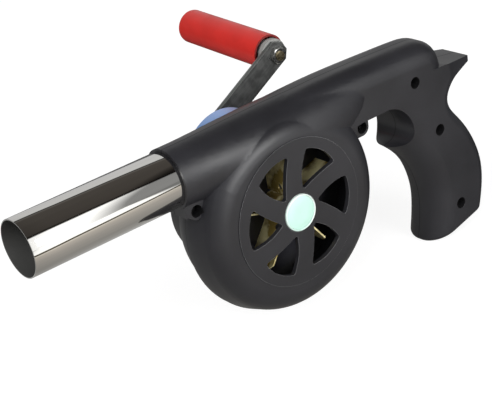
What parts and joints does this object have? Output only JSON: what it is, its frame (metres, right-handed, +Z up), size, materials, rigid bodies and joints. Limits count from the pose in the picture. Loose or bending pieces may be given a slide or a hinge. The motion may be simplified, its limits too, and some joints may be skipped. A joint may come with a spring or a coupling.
{
  "type": "hand crank fan",
  "caption": "Hand-cranked barbecue blower: pistol grip, round casing with a swirl air intake, straight metal air tube, side crank with a free-turning handle.",
  "frame": {"origin": "centre of the air tube's mouth", "axes": "+X along the air tube from its mouth back towards the grip, +Y from the air intake side across to the crank side, +Z up"},
  "size_m": [0.2722, 0.1379, 0.1275],
  "materials": {
    "shell_black": "satin, fine moulded grain",
    "tube_chrome": "polished plating",
    "badge_mint": "smooth, pale mint with a white edge",
    "partition_black": "plain moulded",
    "screw_steel": "black oxide",
    "bush_bronze": "plain turned",
    "shaft_steel": "ground",
    "cover_blue": "satin lavender blue",
    "impeller_gold": "gold passivated sheet",
    "gear_brass": "machined",
    "gear_white": "plain moulded",
    "arm_steel": "dark grey, edges worn bright",
    "nut_zinc": "zinc plated",
    "bolt_zinc": "yellow zinc plated",
    "spacer_grey": "grey moulded",
    "handle_red": "semi-gloss red"
  },
  "bodies": {
    "casing": {"front_shell": "shell_black", "rear_shell": "shell_black", "air_tube": "tube_chrome", "hub_badge": "badge_mint", "gear_plate": "partition_black", "gear_plate_screws": "screw_steel", "shell_screws": "screw_steel", "front_fan_bush": "bush_bronze", "rear_fan_bush": "bush_bronze", "idler_axle": "shaft_steel", "gear_cover": "cover_blue", "gear_cover_screws": "screw_steel", "crank_bush": "bush_bronze"},
    "crank": {"crank_shaft": "shaft_steel", "crank_gear": "gear_white", "crank_arm": "arm_steel", "crank_washer": "nut_zinc", "crank_nut": "nut_zinc", "handle_nut": "nut_zinc", "handle_bolt": "bolt_zinc", "handle_washer": "nut_zinc", "handle_spacer": "spacer_grey"},
    "handle": {"handle_grip": "handle_red"},
    "idler": {"compound_gear": "gear_white"},
    "fan": {"fan_shaft": "shaft_steel", "impeller_disc": "partition_black", "impeller_blades": "impeller_gold", "impeller_hub": "impeller_gold", "fan_pinion": "gear_brass"}
  },
  "joints": [
    {"name": "crank_spin", "type": "hinge", "parent": "casing", "child": "crank", "pos_m": [0.1309, 0.02, -0.0142], "axis": [0, 1, 0], "continuous": true},
    {"name": "idler_spin", "type": "hinge", "parent": "casing", "child": "idler", "pos_m": [0.15234, 0.01, -0.02196], "axis": [0, 1, 0], "continuous": true},
    {"name": "fan_spin", "type": "hinge", "parent": "casing", "child": "fan", "pos_m": [0.1384, 0, -0.0363], "axis": [0, 1, 0], "continuous": true},
    {"name": "handle_spin", "type": "hinge", "parent": "crank", "child": "handle", "pos_m": [0.18362, 0.04115, 0.01785], "axis": [0.0358, 0.9991, 0.0218], "continuous": true}
  ],
  "couplings": [
    {"joint": "idler_spin", "follows": "crank_spin", "ratio": -3.75},
    {"joint": "fan_spin", "follows": "crank_spin", "ratio": 15}
  ]
}
